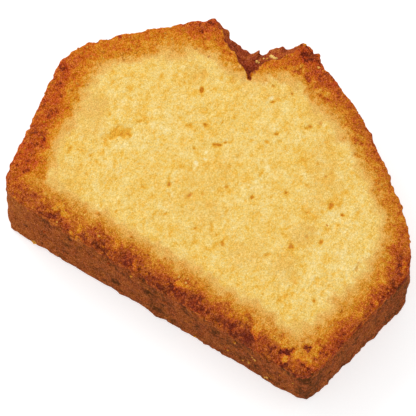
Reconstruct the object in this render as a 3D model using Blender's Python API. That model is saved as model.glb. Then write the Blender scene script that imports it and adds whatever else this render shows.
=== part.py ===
"""A slice of loaf cake that lies on one cut face, with the other cut face up.

It is one solid: a tin-baked base and flared walls, a domed top crust, and the split that runs along the dome.
Outlines are drawn in millimetres, X across the loaf from the middle of its base and Y from base to crown. Z is
the slice's thickness. The finished mesh is in metres, with its origin under the middle of its box.
"""

import math
from collections import namedtuple

import bmesh
import bpy
from mathutils import Vector, noise
from mathutils.geometry import delaunay_2d_cdt

MM = 0.001

# Driving sizes of the slice.
THICKNESS = 19.0
BASE_HALF_WIDTH = 37.5
SHOULDER_HALF_WIDTH = 42.6
SHOULDER_HEIGHT = 30.0
CROWN_HEIGHT = 60.6
LEFT_LIP_HEIGHT = 55.9
SPLIT_X = -7.1
SPLIT_FLOOR_HEIGHT = 47.0
SPLIT_FLOOR_INSIDE = 54.9

# How far below the upper cut face the split has closed up to its inside form, and where the rest of the outline
# reaches the form of the lower cut face.
SPLIT_REACH = 5.5
SLICE_REACH = THICKNESS

# Surface relief: how far apart the lumps are, and how high they stand on each kind of surface.
LUMP_SPACING = 4.2
GRIT_SPACING = 1.7
GRIT_SHARE = 0.6
TIN_CRAG = 0.16
DOME_CRAG = 0.32
SPLIT_CRAG = 0.55
CRUMB_RELIEF = 0.2
RIM_WEAR = 0.3
LOWER_EDGE_WEAR = 0.35

# A corner stands at top on the upper cut face and at under from reach below it. The stretch from it to the next
# corner has the given steps, stands out by bulge in its middle, and has lumps as high as crag.
Corner = namedtuple("Corner", "top under reach rounding steps bulge crag")

CORNERS = [
    # The flat base, right wall and right shoulder.
    Corner((-BASE_HALF_WIDTH + 0.3, 0.1), (-36.8, -0.9), SLICE_REACH, 5.8, 44, 0.0, TIN_CRAG),
    Corner((BASE_HALF_WIDTH, -0.3), (37.2, 0.8), SLICE_REACH, 4.0, 17, 0.0, TIN_CRAG),
    Corner((SHOULDER_HALF_WIDTH + 0.1, SHOULDER_HEIGHT + 0.6), (42.8, 30.1), SLICE_REACH, 2.2, 14, 1.4, DOME_CRAG),
    # The right side of the dome.
    Corner((27.3, 46.9), (27.3, 46.8), SLICE_REACH, 20.0, 14, 1.0, DOME_CRAG),
    # The crown beside the split, a raised curl of crust, and the cliff down into the split.
    Corner((3.0, 59.1), (3.2, 59.2), SPLIT_REACH, 1.2, 2, 0.0, DOME_CRAG),
    Corner((1.5, CROWN_HEIGHT - 0.2), (1.0, 60.2), SPLIT_REACH, 0.8, 2, 0.3, SPLIT_CRAG),
    Corner((-2.4, CROWN_HEIGHT), (-4.0, 60.7), SPLIT_REACH, 0.7, 4, -0.2, SPLIT_CRAG),
    Corner((-5.4, 54.3), (-7.3, 59.0), SPLIT_REACH, 1.0, 2, 0.2, SPLIT_CRAG),
    Corner((-7.4, 52.0), (-8.1, 57.2), SPLIT_REACH, 1.0, 3, 0.0, SPLIT_CRAG),
    Corner((SPLIT_X, SPLIT_FLOOR_HEIGHT), (-9.6, SPLIT_FLOOR_INSIDE + 0.3), SPLIT_REACH, 0.3, 2, 0.0, 0.2),
    # The sloping side of the split, up to its left lip.
    Corner((-9.3, 49.3), (-12.2, SPLIT_FLOOR_INSIDE - 0.2), SPLIT_REACH, 1.0, 5, 0.0, SPLIT_CRAG),
    Corner((-13.8, 51.6), (-15.6, SPLIT_FLOOR_INSIDE), SPLIT_REACH, 2.0, 2, 0.0, SPLIT_CRAG),
    Corner((-16.5, 52.2), (-17.4, 55.9), SPLIT_REACH, 1.0, 3, 0.0, SPLIT_CRAG),
    Corner((-20.8, LEFT_LIP_HEIGHT), (-20.2, 56.7), SPLIT_REACH, 0.7, 18, 0.3, DOME_CRAG),
    # The left side of the dome, the left shoulder with its small lip, and the left wall.
    Corner((-40.7, 36.0), (-40.2, 36.2), SLICE_REACH, 6.0, 3, 0.0, DOME_CRAG),
    Corner((-SHOULDER_HALF_WIDTH, SHOULDER_HEIGHT), (-42.3, 29.6), SLICE_REACH, 1.2, 19, 0.0, TIN_CRAG),
]

TIGHT_ROUNDING = 2.0
TIGHT_ARC_STEPS = 3
WIDE_ARC_STEPS = 6

# Heights of the rings up the sides, as shares of the thickness. The upper cut face has a ring just inside its rim,
# drawn in towards its middle, and a staggered grid of points inside that ring.
SIDE_LEVELS = [0.0, 0.03, 0.12, 0.22, 0.33, 0.44, 0.55, 0.65, 0.74, 0.82, 0.89, 0.95, 1.0]
FACE_MIDDLE = Vector((2.0, 25.0))
FACE_RING_SHARE = 0.98
FACE_SPACING = 2.2
FACE_MARGIN = 1.3

CRUMB_COLOUR = (0.83, 0.55, 0.17, 1.0)
CRUST_COLOUR = (0.27, 0.07, 0.012, 1.0)


def clear_scene():
    for obj in list(bpy.data.objects):
        bpy.data.objects.remove(obj, do_unlink=True)


def eased(share):
    return share * share * (3.0 - 2.0 * share)


def corner_at(corner, depth):
    """Where a corner of the outline stands at this depth below the upper cut face."""
    share = eased(min(1.0, depth / corner.reach))
    return Vector(corner.top).lerp(Vector(corner.under), share)


def arc_steps(corner):
    return TIGHT_ARC_STEPS if corner.rounding < TIGHT_ROUNDING else WIDE_ARC_STEPS


def rounded_corner(before, here, after, rounding, steps):
    """Points round a corner, from where the arc leaves one straight to where it joins the next."""
    back = before - here
    ahead = after - here
    turn = math.pi - back.angle(ahead)
    trim = min(rounding * math.tan(turn / 2), 0.45 * back.length, 0.45 * ahead.length)
    start = here + back.normalized() * trim
    end = here + ahead.normalized() * trim
    points = []
    for step in range(steps):
        t = step / (steps - 1)
        points.append(start * (1 - t) ** 2 + here * 2 * t * (1 - t) + end * t**2)
    return points


def stretch(start, end, steps, bulge):
    """Points between two corners, without the ends, on a shallow bow that stands out by bulge."""
    along = end - start
    outward = Vector((along.y, -along.x)).normalized()
    points = []
    for step in range(1, steps + 1):
        t = step / (steps + 1)
        points.append(start + along * t + outward * (4 * bulge * t * (1 - t)))
    return points


def outline(depth):
    """The smooth outline at this depth, counter-clockwise from above, with the crag height at each point."""
    spots = [corner_at(corner, depth) for corner in CORNERS]
    arcs = []
    for i, corner in enumerate(CORNERS):
        after = spots[(i + 1) % len(spots)]
        arcs.append(rounded_corner(spots[i - 1], spots[i], after, corner.rounding, arc_steps(corner)))
    points = []
    for i, corner in enumerate(CORNERS):
        next_arc = arcs[(i + 1) % len(arcs)]
        run = arcs[i] + stretch(arcs[i][-1], next_arc[0], corner.steps, corner.bulge)
        points += [(point, corner.crag) for point in run]
    return points


def lumps(x, y, z):
    """Height of the crust's lumps and grit at a place, from about -1 to 1."""
    coarse = noise.noise(Vector((x, y, z)) / LUMP_SPACING)
    grit = noise.noise(Vector((x + 50.0, y, z)) / GRIT_SPACING)
    return coarse + GRIT_SHARE * grit


def craggy_ring(level):
    """One ring of the side at this share of the thickness, roughened outward and inward."""
    z = THICKNESS * level
    smooth_ring = outline(THICKNESS - z)
    wear = LOWER_EDGE_WEAR if level == 0.0 else 0.0
    ring = []
    for i, (point, crag) in enumerate(smooth_ring):
        before = smooth_ring[i - 1][0]
        after = smooth_ring[(i + 1) % len(smooth_ring)][0]
        along = (after - before).normalized()
        outward = Vector((along.y, -along.x))
        moved = point + outward * (crag * lumps(point.x, point.y, z) - wear)
        ring.append(Vector((moved.x, moved.y, z)))
    return ring


def side_rings():
    rings = [craggy_ring(level) for level in SIDE_LEVELS]
    for point in rings[-1]:
        worn = 0.5 + 0.5 * noise.noise(Vector((point.x, point.y, 30.0)) / GRIT_SPACING)
        point.z -= RIM_WEAR * worn
    return rings


def crumb_height(x, y):
    """Height of the upper cut face, which tore a little unevenly under the knife."""
    return THICKNESS + CRUMB_RELIEF * noise.noise(Vector((x, y, 60.0)) / LUMP_SPACING)


def inner_ring(rim):
    """The ring just inside the rim, where the cut face has its full height."""
    places = [FACE_MIDDLE.lerp(point.to_2d(), FACE_RING_SHARE) for point in rim]
    return [Vector((place.x, place.y, crumb_height(place.x, place.y))) for place in places]


def inside(place, loop):
    """Whether a place lies inside a loop of points, and clear of all of them by the face's margin."""
    crossings = 0
    for i, here in enumerate(loop):
        before = loop[i - 1]
        if (here - place).length < FACE_MARGIN:
            return False
        if (here.y > place.y) != (before.y > place.y):
            share = (place.y - here.y) / (before.y - here.y)
            crossings += place.x < here.x + share * (before.x - here.x)
    return crossings % 2 == 1


def grid_places(loop):
    """Places on a staggered grid inside a loop."""
    row_height = FACE_SPACING * math.sqrt(3) / 2
    low_x = min(point.x for point in loop)
    low_y = min(point.y for point in loop)
    columns = math.ceil((max(point.x for point in loop) - low_x) / FACE_SPACING)
    rows = math.ceil((max(point.y for point in loop) - low_y) / row_height)
    places = []
    for row in range(rows):
        for column in range(columns):
            shift = FACE_SPACING / 2 if row % 2 else 0.0
            place = Vector((low_x + shift + column * FACE_SPACING, low_y + row * row_height))
            if inside(place, loop):
                places.append(place)
    return places


def centred(points):
    """Moves the points so that the origin is under the middle of their box, and returns them in metres."""
    middle_x = (min(p.x for p in points) + max(p.x for p in points)) / 2
    middle_y = (min(p.y for p in points) + max(p.y for p in points)) / 2
    shift = Vector((middle_x, middle_y, 0.0))
    return [(point - shift) * MM for point in points]


def slice_mesh():
    """Bridges the rings from the lower cut face to the upper one, and fills both faces."""
    rings = side_rings()
    rings.append(inner_ring(rings[-1]))
    size = len(rings[0])
    loop = [point.to_2d() for point in rings[-1]]
    grid = grid_places(loop)
    filled = delaunay_2d_cdt(loop + grid, [], [list(range(size))], 1, 1e-5)
    face_triangles = filled[2]

    points = [point for ring in rings for point in ring]
    points += [Vector((place.x, place.y, crumb_height(place.x, place.y))) for place in grid]
    shape = bmesh.new()
    verts = [shape.verts.new(point) for point in centred(points)]
    shape.faces.new(reversed(verts[:size]))
    for row in range(len(rings) - 1):
        lower = verts[row * size : (row + 1) * size]
        upper = verts[(row + 1) * size : (row + 2) * size]
        for i in range(size):
            j = (i + 1) % size
            quad = shape.faces.new((lower[i], lower[j], upper[j], upper[i]))
            quad.material_index = 1 if row < len(SIDE_LEVELS) - 1 else 0
    face_verts = verts[(len(rings) - 1) * size :]
    for triangle in face_triangles:
        shape.faces.new([face_verts[i] for i in triangle])

    mesh = bpy.data.meshes.new("cake_slice")
    shape.to_mesh(mesh)
    shape.free()
    mesh.shade_smooth()
    mesh.set_sharp_from_angle(angle=math.radians(50))
    return mesh


def baked_material(name, colour, roughness):
    material = bpy.data.materials.new(name)
    material.use_nodes = True
    shader = material.node_tree.nodes["Principled BSDF"]
    shader.inputs["Base Color"].default_value = colour
    shader.inputs["Roughness"].default_value = roughness
    shader.inputs["Metallic"].default_value = 0.0
    material.diffuse_color = colour
    return material


def make_slice():
    mesh = slice_mesh()
    mesh.materials.append(baked_material("yellow crumb", CRUMB_COLOUR, 0.85))
    mesh.materials.append(baked_material("browned crust", CRUST_COLOUR, 0.75))
    cake = bpy.data.objects.new("cake_slice", mesh)
    bpy.context.scene.collection.objects.link(cake)


clear_scene()
make_slice()
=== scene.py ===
"""The looks of a slice of loaf cake that lies on one cut face: its open crumb, its browning and its crusts.

Sizes are in millimetres, in the frame's own axes: X across the loaf, Y from its base to its crown, Z up
through the slice. The origin is under the middle of the slice's box.
"""

import math
import random

import bpy
import numpy as np
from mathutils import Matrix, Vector, noise
from mathutils.bvhtree import BVHTree


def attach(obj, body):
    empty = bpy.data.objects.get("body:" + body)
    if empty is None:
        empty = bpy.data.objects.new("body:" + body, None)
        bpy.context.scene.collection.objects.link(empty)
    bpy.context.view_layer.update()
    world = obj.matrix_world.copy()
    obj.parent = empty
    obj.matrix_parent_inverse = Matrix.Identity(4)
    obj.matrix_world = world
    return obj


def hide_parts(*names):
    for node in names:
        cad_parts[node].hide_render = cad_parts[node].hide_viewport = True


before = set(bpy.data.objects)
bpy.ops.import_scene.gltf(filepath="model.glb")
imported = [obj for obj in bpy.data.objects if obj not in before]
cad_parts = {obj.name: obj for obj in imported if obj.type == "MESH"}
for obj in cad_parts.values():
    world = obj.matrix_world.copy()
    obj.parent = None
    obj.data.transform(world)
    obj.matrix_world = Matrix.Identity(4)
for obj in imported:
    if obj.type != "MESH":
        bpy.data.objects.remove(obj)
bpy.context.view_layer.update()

MM = 0.001
THICKNESS = 19.0

# The photograph's view: the camera's turn round the slice and its height, in degrees, how far off it is,
# the place that it looks at, and how wide a strip there fills the picture.
CAMERA_AZIMUTH = 33.2
CAMERA_ELEVATION = 70.0
CAMERA_DISTANCE = 800.0
CAMERA_TARGET = Vector((0.7, -10.35, THICKNESS))
PICTURE_WIDTH = 84.45
PICTURE_PIXELS = 416
SENSOR_WIDTH = 36.0

# The light: a soft key from the picture's upper left, its distance and size in metres, and an even white
# sky.
KEY_DIRECTION = Vector((-0.62, 0.15, 0.75))
KEY_DISTANCE = 0.9
KEY_SIZE = 0.5
KEY_WATTS = 2.86
SKY_STRENGTH = 0.82
# The floor: its width, how far it is under the slice, how grey it is and how brightly it glows.
FLOOR_WIDTH = 4000.0
FLOOR_DROP = 0.2
FLOOR_GREY = 0.6
FLOOR_GLOW = 0.58

# How each side of the loaf baked, from one of its ends to the other. A row is a place along the side (X on
# the base, Y on the others), how dark the crumb baked there (1 is about the base's brown), how far in from
# the rim that darkness holds, and where it has faded to plain crumb.
BAKED = {
    "base": [
        (-36.0, 0.74, 1.2, 9.2), (-28.0, 1.0, 0.8, 8.5), (-10.0, 1.04, 0.9, 8.3), (2.0, 1.1, 1.2, 8.6),
        (12.0, 1.02, 1.8, 8.8), (22.0, 1.12, 1.2, 8.8), (31.0, 1.0, 0.5, 8.7), (37.0, 0.9, 0.5, 8.6),
    ],
    "right": [
        (-29.0, 0.88, 0.5, 8.6), (-23.0, 0.96, 0.8, 8.8), (-10.0, 0.96, 0.8, 8.1), (-1.0, 1.03, 1.0, 9.3),
        (5.0, 0.86, 1.5, 8.5), (11.0, 0.67, 0.8, 6.5), (14.0, 0.67, 1.0, 6.3), (18.0, 0.82, 0.7, 6.5),
        (25.0, 0.9, 0.3, 7.3), (28.0, 0.95, 2.2, 8.3), (31.0, 0.9, 2.0, 8.2),
    ],
    "split": [
        (17.0, 0.02, 0.5, 4.1), (19.5, 0.36, 0.8, 4.8), (21.0, 0.58, 0.8, 5.4), (25.0, 0.69, 1.2, 6.2),
        (30.0, 0.8, 1.5, 7.1),
    ],
    "left": [
        (-28.0, 0.72, 1.2, 9.2), (-24.0, 0.88, 3.2, 9.6), (-16.0, 0.92, 2.9, 8.3), (-9.0, 0.88, 2.7, 9.2),
        (-1.0, 0.87, 2.1, 9.7), (4.0, 0.75, 2.4, 9.3), (9.0, 0.63, 2.7, 7.9), (13.0, 0.62, 2.4, 7.3),
        (19.0, 0.66, 1.6, 8.6), (23.0, 0.88, 2.2, 8.1), (26.0, 0.8, 2.2, 7.7),
    ],
}

# The split runs between these two places along X, above this place along Y, and between the two narrower
# ones all of the wall is its own torn crust. That is this browned at these two places along Y, deep in it
# and on the dome: baked crust, with painted shade making it darker deep in the split.
SPLIT_FROM, SPLIT_TO, SPLIT_ABOVE = -20.6, -1.5, 10.0
NOTCH_FROM, NOTCH_TO = -20.2, -3.4
SPLIT_DEPTHS = (23.0, 28.0)
SPLIT_BROWNING_AND_SHADE = (0.75, 0.58)
# How orange rather than brown each side is.
WARMTH = {"base": 0.0, "right": 0.35, "split": 0.9, "left": 1.0}
# How much darker each side's wall is than the crumb at its rim: painted shade on the right side's wall,
# and a little painted light on the base's.
WALL_LIGHT_AND_SHADE = {"base": -0.04, "right": 0.08, "split": 0.0, "left": 0.0}
# The base and the walls were against the tin; above this the crust is the loaf's own dome.
TIN_TOP = 0.6

# Marks on the upper cut face, each an uneven oval where the photograph shows it. Its columns are the place
# in the photograph, in pixels across and down, the length and width in millimetres, the turn of the length
# from the picture's level in degrees, and by how much it changes the browning, or for a crumb patch the
# goldenness.
GOLDEN_CLUMPS = [
    (59, 207, 2.2, 1.6, -30, -0.5), (64, 214, 2.0, 1.4, -40, -0.45), (43, 200, 1.1, 0.8, 0, -0.3),
    (80, 228, 2.0, 0.8, 80, -0.4), (71, 233, 1.2, 0.8, 110, -0.4), (77, 238, 1.7, 0.9, -20, -0.3),
    (99, 236, 0.6, 0.6, 0, -0.5), (117, 245, 2.2, 1.0, 100, -0.25), (135, 266, 1.8, 0.9, 110, -0.3),
    (181, 285, 2.3, 1.3, -15, -0.35), (187, 286, 1.3, 0.6, 100, -0.25), (203, 288, 1.6, 0.9, -20, -0.3),
    (199, 302, 0.8, 0.4, 100, -0.3), (230, 314, 1.3, 0.8, 90, -0.25), (243, 312, 1.4, 1.1, 0, -0.2),
    (244, 320, 1.6, 0.6, 95, -0.4), (257, 328, 3.2, 1.9, 80, -0.42), (273, 337, 2.0, 1.1, 0, -0.3),
    (285, 345, 2.3, 2.0, 0, -0.42), (284, 358, 2.0, 1.6, -10, -0.5), (297, 354, 2.4, 1.8, 10, -0.42),
    (307, 359, 2.0, 1.6, -20, -0.4), (309, 364, 1.2, 1.0, 0, -0.25), (317, 350, 2.2, 1.6, 80, -0.25),
    (316, 355, 1.2, 1.0, 0, -0.3), (294, 367, 1.0, 0.7, 0, -0.2), (375, 303, 1.4, 1.1, 60, -0.35),
    (368, 304, 0.9, 0.8, 0, -0.25), (361, 314, 1.2, 0.8, 30, -0.2), (384, 284, 2.4, 1.5, -40, -0.2),
    (404, 265, 3.6, 0.9, 80, -0.18), (327, 95, 1.6, 1.4, 0, -0.3), (319, 91, 1.5, 1.0, 0, -0.25),
    (293, 54, 1.2, 0.4, 40, -0.25), (301, 50, 0.7, 0.4, 30, -0.3), (224, 33, 1.7, 0.7, 110, -0.25),
]
BROWN_SPOTS = [
    (53, 216, 2.2, 1.1, -20, 0.25), (41, 213, 1.2, 0.9, 0, 0.3), (46, 206, 1.8, 1.2, 0, 0.12),
    (18, 193, 1.0, 0.9, 0, 0.25), (22, 186, 2.4, 0.9, 85, 0.2), (35, 184, 1.2, 0.6, 95, 0.25),
    (30, 197, 2.4, 1.0, 0, 0.12), (25, 171, 1.4, 0.8, 10, 0.4), (27, 163, 2.0, 1.2, 95, 0.2),
    (44, 178, 0.9, 0.7, 0, 0.2), (84, 236, 2.2, 1.3, 60, 0.2), (105, 251, 2.4, 1.1, -20, 0.3),
    (117, 261, 1.6, 1.1, 0, 0.22), (127, 262, 2.2, 1.3, -30, 0.22), (138, 256, 1.4, 1.0, 0, 0.25),
    (145, 255, 1.3, 0.4, 5, 0.35), (140, 270, 1.5, 0.9, 20, 0.32), (161, 257, 0.8, 0.5, 0, 0.3),
    (154, 278, 1.7, 0.6, -40, 0.22), (171, 287, 2.6, 0.8, 100, 0.25), (178, 279, 1.6, 0.4, 30, 0.35),
    (190, 284, 1.2, 0.4, 110, 0.3), (198, 295, 1.4, 0.9, 0, 0.22), (204, 311, 2.0, 1.2, -20, 0.22),
    (220, 297, 1.2, 0.8, 0, 0.38), (217, 321, 1.0, 0.9, 0, 0.22), (233, 327, 1.5, 1.2, 0, 0.4),
    (237, 334, 1.8, 0.6, -20, 0.35), (250, 318, 1.8, 1.6, 0, 0.42), (251, 339, 1.8, 1.1, 0, 0.3),
    (246, 312, 0.5, 0.4, 0, 0.4), (272, 348, 2.8, 2.0, 60, 0.22), (279, 357, 1.7, 0.5, 110, 0.35),
    # The two darkest spots, at 288, 351 and 308, 350, are painted shadow in the gaps under the front
    # corner's lumps.
    (282, 337, 1.6, 0.5, 75, 0.25), (288, 351, 3.6, 1.4, 12, 0.8), (288, 355, 1.2, 0.9, 0, 0.5),
    (284, 365, 1.9, 0.9, 0, 0.55), (289, 369, 1.2, 0.9, 0, 0.35), (302, 345, 2.0, 1.1, -10, 0.22),
    (308, 350, 2.2, 1.6, 10, 0.85), (311, 345, 1.6, 0.6, 75, 0.55), (315, 358, 1.6, 0.7, -10, 0.4),
    (319, 353, 1.2, 0.9, 80, 0.3), (318, 363, 0.9, 0.6, 0, 0.3), (317, 335, 2.6, 0.6, 80, 0.2),
    (318, 328, 0.6, 0.4, 0, 0.3), (304, 319, 0.6, 0.4, 0, 0.2), (325, 352, 1.9, 1.4, 60, 0.25),
    (345, 331, 2.6, 1.5, 45, 0.2), (342, 313, 1.4, 0.7, 90, 0.2), (371, 296, 1.0, 0.6, 20, 0.22),
    (396, 265, 5.0, 2.6, 70, 0.15), (391, 247, 1.4, 0.9, 0, 0.25), (403, 236, 1.6, 1.0, 80, 0.15),
    (376, 254, 1.4, 0.6, 10, 0.22), (376, 246, 1.1, 0.8, 0, 0.18), (357, 267, 1.8, 0.7, 70, 0.25),
    (379, 190, 0.6, 0.6, 0, 0.5), (352, 129, 0.7, 0.7, 0, 0.35), (361, 143, 1.0, 1.0, 0, 0.45),
    (358, 157, 1.0, 0.9, 0, 0.3), (316, 114, 0.7, 0.6, 0, 0.35), (321, 123, 0.6, 0.6, 0, 0.5),
    (313, 97, 1.6, 1.2, -40, 0.27), (319, 105, 1.7, 1.0, -30, 0.22), (328, 99, 0.6, 0.5, 0, 0.3),
    (337, 96, 2.2, 1.5, -60, 0.15), (307, 77, 3.2, 1.2, -50, 0.5), (301, 73, 2.4, 0.9, -10, 0.35),
    (322, 80, 2.6, 1.7, -40, 0.15), (309, 56, 2.6, 2.2, -50, 0.12), (294, 63, 1.8, 1.2, 0, 0.18),
    (280, 70, 0.7, 0.4, 0, 0.25), (203, 31, 2.2, 1.3, 75, 0.3), (212, 23, 2.2, 1.1, 0, 0.22),
    (224, 51, 0.8, 0.7, 0, 0.25), (120, 36, 0.8, 0.7, 0, 0.65), (130, 50, 1.2, 0.5, 0, 0.25),
    (118, 64, 1.0, 0.6, 0, 0.25), (107, 57, 1.6, 0.6, 0, 0.2), (84, 57, 1.0, 0.8, 0, 0.18),
    (82, 68, 2.0, 1.2, 0, 0.12), (63, 68, 2.4, 1.8, 70, 0.22), (59, 84, 1.4, 0.9, 0, 0.15),
    (75, 100, 2.0, 0.9, -15, 0.3), (66, 92, 2.4, 1.5, 50, 0.12), (47, 101, 1.7, 1.0, 0, 0.18),
    (49, 113, 2.3, 1.3, 60, 0.15), (34, 132, 2.4, 1.6, 30, 0.2), (43, 142, 1.8, 1.0, 80, 0.25),
    (48, 148, 0.6, 0.5, 0, 0.3), (70, 135, 0.7, 0.4, 60, 0.35),
]
CRUMB_PATCHES = [
    # Among these, the golden patches at and beside 117, 134 are painted shade in the torn terrace, and the
    # paler strips at 119, 146 and 135, 136 are painted highlight on its crest.
    (117, 134, 5.2, 3.0, 15, 0.42), (108, 142, 2.4, 1.4, 60, 0.2), (127, 137, 2.0, 1.2, 30, 0.2),
    (146, 120, 3.2, 1.5, 12, 0.35), (136, 121, 1.7, 1.0, 0, 0.25), (161, 118, 2.4, 0.9, 20, 0.2),
    (119, 146, 5.2, 1.3, 10, -0.3), (135, 136, 2.5, 0.9, 55, -0.25), (203, 73, 2.6, 1.5, 85, 0.35),
    (195, 77, 2.0, 1.2, 90, 0.2), (232, 79, 3.0, 2.5, 0, 0.3), (202, 90, 2.0, 1.2, 95, 0.75),
    (130, 87, 1.6, 1.4, 0, 0.35), (245, 96, 1.9, 1.0, 80, 0.25), (292, 94, 1.0, 0.9, 0, 0.5),
    (273, 86, 1.0, 0.8, 0, 0.45), (269, 84, 1.6, 0.8, 70, 0.3), (272, 98, 1.1, 0.8, 30, -0.65),
    (272, 102, 1.4, 0.6, 10, 0.35), (267, 96, 1.2, 0.6, 40, 0.25), (84, 110, 1.7, 1.5, 0, 0.2),
    (113, 73, 1.2, 0.8, 90, 0.3), (326, 176, 0.9, 0.7, 0, 0.3), (327, 188, 1.2, 1.0, 0, 0.3),
    (333, 203, 2.7, 1.8, 55, 0.35), (346, 191, 1.2, 1.0, 0, 0.25), (342, 215, 1.0, 0.9, 0, 0.4),
    (356, 216, 1.9, 1.7, 0, 0.35), (338, 225, 1.9, 1.0, 0, 0.4), (360, 242, 0.8, 0.8, 0, 0.35),
    (333, 275, 1.2, 1.1, 0, 0.4), (326, 229, 1.9, 1.5, 0, 0.3), (323, 212, 1.2, 0.8, 90, 0.3),
    (306, 218, 1.2, 1.0, 0, 0.3), (299, 113, 1.6, 0.9, 80, 0.25), (293, 246, 3.0, 2.0, 10, 0.25),
    (206, 124, 2.2, 1.8, -50, 0.25), (222, 167, 2.5, 1.3, 95, 0.25), (277, 134, 1.1, 1.0, 0, 0.3),
    (163, 92, 1.1, 1.0, 0, 0.2), (133, 193, 1.9, 0.8, 80, 0.2), (152, 195, 2.2, 1.7, 60, 0.15),
    (182, 166, 1.3, 1.1, 0, 0.2), (246, 77, 2.2, 2.0, 0, -0.2), (239, 73, 1.6, 1.0, -30, -0.2),
    (223, 241, 2.0, 1.2, 70, 0.4), (217, 145, 2.0, 1.2, -10, 0.35), (252, 197, 1.0, 0.9, 90, 0.35),
    (197, 163, 1.5, 0.9, 100, -0.6), (206, 152, 1.0, 0.7, 0, -0.6), (205, 159, 0.9, 0.6, 0, -0.5),
]
# Wide soft shades of the crumb, where it is a little paler or more golden: place, length, width, turn of
# the length from X in degrees, and change.
SOFT_SHADES = [
    (-17.5, 1.5, 12.0, 9.0, 33, -0.08), (-19.0, -7.0, 9.0, 6.0, 33, -0.05),
    (-31.0, -8.0, 10.0, 12.0, 33, 0.06), (-27.0, -20.0, 7.0, 14.0, 33, 0.05),
    (-10.0, -25.0, 16.0, 7.0, 0, 0.07), (8.0, -25.0, 14.0, 7.0, 0, 0.05),
    (-3.0, -6.0, 8.0, 22.0, -20, 0.03), (-7.0, 9.5, 7.0, 5.0, 33, -0.03), (5.0, 3.0, 10.0, 7.0, 33, -0.04),
    (17.0, 8.0, 8.0, 20.0, 30, 0.05), (30.0, -8.0, 10.0, 16.0, 60, -0.06),
    (22.0, -17.0, 12.0, 9.0, 33, -0.02), (12.0, -14.0, 9.0, 9.0, 33, 0.05),
    (33.0, -18.0, 6.0, 12.0, 10, -0.04), (-1.5, 19.0, 10.0, 5.0, 33, 0.04),
    (30.5, -22.0, 5.0, 5.0, 0, 0.12), (20.0, -4.5, 6.0, 6.0, 33, 0.09), (21.5, -13.0, 8.0, 7.0, 33, 0.08),
    (30.5, -1.0, 8.0, 8.0, 33, -0.06), (-28.0, -14.5, 6.0, 6.0, 33, -0.06),
    (-2.0, 13.5, 6.0, 6.0, 33, -0.05), (-32.5, -4.5, 9.0, 8.0, 33, 0.07), (-17.0, 13.5, 6.0, 5.0, 0, 0.06),
    (8.0, 19.5, 6.0, 6.0, 0, 0.08), (24.5, 2.5, 9.0, 8.0, 33, -0.07), (1.5, -11.0, 7.0, 6.0, 33, 0.05),
    (8.5, -11.0, 6.0, 5.0, 33, -0.06), (-2.5, -23.5, 6.0, 4.0, 0, 0.06), (25.5, -10.0, 7.0, 5.0, 33, -0.06),
]
# The terraces where the knife tore flakes away: the columns of the marks, with the depth in millimetres
# last.
TORN_FLAKES = [
    (117, 134, 5.6, 3.2, 15, 0.3), (232, 79, 3.0, 2.5, 0, 0.2), (203, 73, 2.6, 1.5, 85, 0.2),
]

# The holes that stand out on the upper cut face: the columns of the marks, without the change.
HOLES = [
    (202, 90, 1.6, 1.0, 95), (194, 148, 0.9, 0.6, 0), (218, 144, 2.0, 0.8, -10), (226, 142, 1.4, 0.5, 20),
    (222, 123, 1.6, 0.6, 65), (206, 125, 1.5, 1.0, -60), (273, 86, 0.9, 0.7, 0), (270, 83, 0.6, 0.6, 0),
    (292, 94, 0.8, 0.8, 0), (272, 102, 1.1, 0.5, 10), (271, 119, 1.1, 0.6, 20), (277, 134, 1.0, 0.9, 0),
    (267, 142, 1.3, 0.9, -30), (281, 141, 1.2, 0.6, 25), (253, 140, 0.8, 0.6, 0), (311, 127, 0.9, 0.7, 0),
    (306, 128, 0.7, 0.5, 0), (318, 164, 0.9, 0.7, 80), (307, 172, 1.0, 0.7, 10), (326, 176, 0.7, 0.5, 0),
    (227, 187, 1.0, 0.8, -20), (252, 197, 1.2, 0.7, 100), (223, 241, 2.0, 1.1, 70), (217, 265, 0.7, 0.7, 0),
    (293, 246, 2.0, 1.3, 10), (321, 242, 1.3, 0.7, 60), (307, 237, 0.8, 0.6, 90), (332, 205, 2.0, 1.2, 60),
    (342, 215, 0.9, 0.8, 0), (110, 115, 1.1, 0.6, 110), (91, 155, 1.2, 0.7, 15), (190, 195, 1.5, 0.8, 50),
    (169, 183, 2.2, 0.8, 95), (143, 138, 0.7, 0.5, 0), (195, 228, 1.5, 0.6, 20), (177, 263, 1.3, 0.8, 80),
    (116, 211, 0.8, 0.6, 80), (214, 274, 0.6, 0.5, 0), (286, 192, 0.9, 0.5, 90), (165, 214, 1.3, 0.6, 40),
    (314, 301, 0.7, 0.6, 60), (357, 267, 1.6, 0.6, 70),
]

# Crags on the lips of the split: place, reach round it, and how far they stand out of the wall, or cut into
# it.
CRAGS = [
    (-2.7, 30.3, 0.8, 0.6), (-1.7, 30.0, 0.4, -0.4), (-1.4, 31.0, 0.5, 0.5), (-0.4, 30.6, 0.6, 0.3),
    (1.2, 30.0, 0.6, 0.7), (1.6, 29.0, 0.4, -0.4), (2.8, 28.7, 0.8, 0.3), (-4.0, 30.9, 0.7, 0.5),
    (-18.5, 26.3, 0.7, 0.4), (-17.1, 25.3, 0.5, -0.5), (-16.3, 25.6, 0.7, 0.4), (-12.4, 24.4, 0.9, 0.4),
    (-11.2, 24.6, 0.6, -0.5), (-10.8, 25.6, 0.7, 0.5), (-8.8, 25.1, 0.6, -0.5), (-8.6, 27.9, 0.6, 0.5),
    (-7.8, 28.4, 0.5, 0.3), (-6.7, 29.1, 0.6, 0.5), (-10.3, 24.3, 1.2, 1.3), (-8.3, 27.2, 0.8, 0.5),
    (-7.1, 19.4, 1.1, 0.8), (-6.5, 23.6, 1.1, 0.6),
]
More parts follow.
